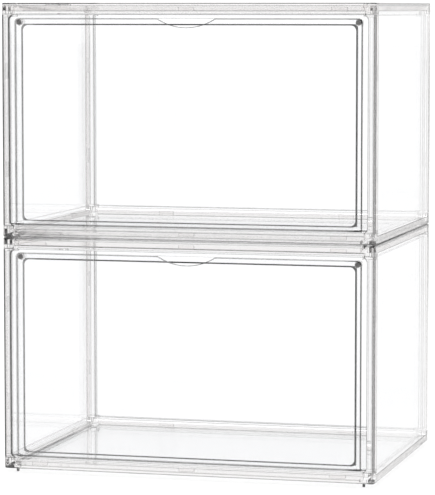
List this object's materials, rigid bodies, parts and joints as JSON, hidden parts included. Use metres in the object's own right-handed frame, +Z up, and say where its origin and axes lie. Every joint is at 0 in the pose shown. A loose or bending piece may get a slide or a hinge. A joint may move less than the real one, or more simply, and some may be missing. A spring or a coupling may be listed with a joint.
{
  "type": "stackable shoe box",
  "caption": "Clear drop-front shoe boxes keyed one on the other, each with a magnet-latched door on bottom hinge pins, a tray base, a lid and snap-fit walls.",
  "frame": {"origin": "centre of the stack's footprint, at the tips of the lower box's stacking pegs", "axes": "+Z up, -Y out of the doors, +X to the right of somebody facing the doors"},
  "size_m": [0.36, 0.27, 0.4461],
  "materials": {
    "clear_moulding": "clear polished styrene, slightly grey at the edges",
    "clear_door": "clear polished styrene sheet",
    "pin_steel": "drawn steel wire",
    "magnet_nickel": "dark nickel-plated disc magnet"
  },
  "bodies": {
    "lower_box": {"lower_base_tray": "clear_moulding", "lower_top_cover": "clear_moulding", "lower_front_frame": "clear_moulding", "lower_back_wall": "clear_moulding", "lower_left_wall": "clear_moulding", "lower_right_wall": "clear_moulding", "lower_frame_magnet_left": "magnet_nickel", "lower_frame_magnet_right": "magnet_nickel"},
    "lower_door": {"lower_door_panel": "clear_door", "lower_hinge_pin_left": "pin_steel", "lower_hinge_pin_right": "pin_steel", "lower_door_magnet_left": "magnet_nickel", "lower_door_magnet_right": "magnet_nickel"},
    "upper_box": {"upper_base_tray": "clear_moulding", "upper_top_cover": "clear_moulding", "upper_front_frame": "clear_moulding", "upper_back_wall": "clear_moulding", "upper_left_wall": "clear_moulding", "upper_right_wall": "clear_moulding", "upper_frame_magnet_left": "magnet_nickel", "upper_frame_magnet_right": "magnet_nickel"},
    "upper_door": {"upper_door_panel": "clear_door", "upper_hinge_pin_left": "pin_steel", "upper_hinge_pin_right": "pin_steel", "upper_door_magnet_left": "magnet_nickel", "upper_door_magnet_right": "magnet_nickel"}
  },
  "joints": [
    {"name": "lower_door_hinge", "type": "hinge", "parent": "lower_box", "child": "lower_door", "pos_m": [0, -0.1326, 0.0168], "axis": [1, 0, 0], "range_deg": [0, 90]},
    {"name": "upper_box_lift", "type": "slide", "parent": "lower_box", "child": "upper_box", "axis": [0, 0, 1], "range_m": [0, 0.1]},
    {"name": "upper_door_hinge", "type": "hinge", "parent": "upper_box", "child": "upper_door", "pos_m": [0, -0.1326, 0.2381], "axis": [1, 0, 0], "range_deg": [0, 90]}
  ]
}
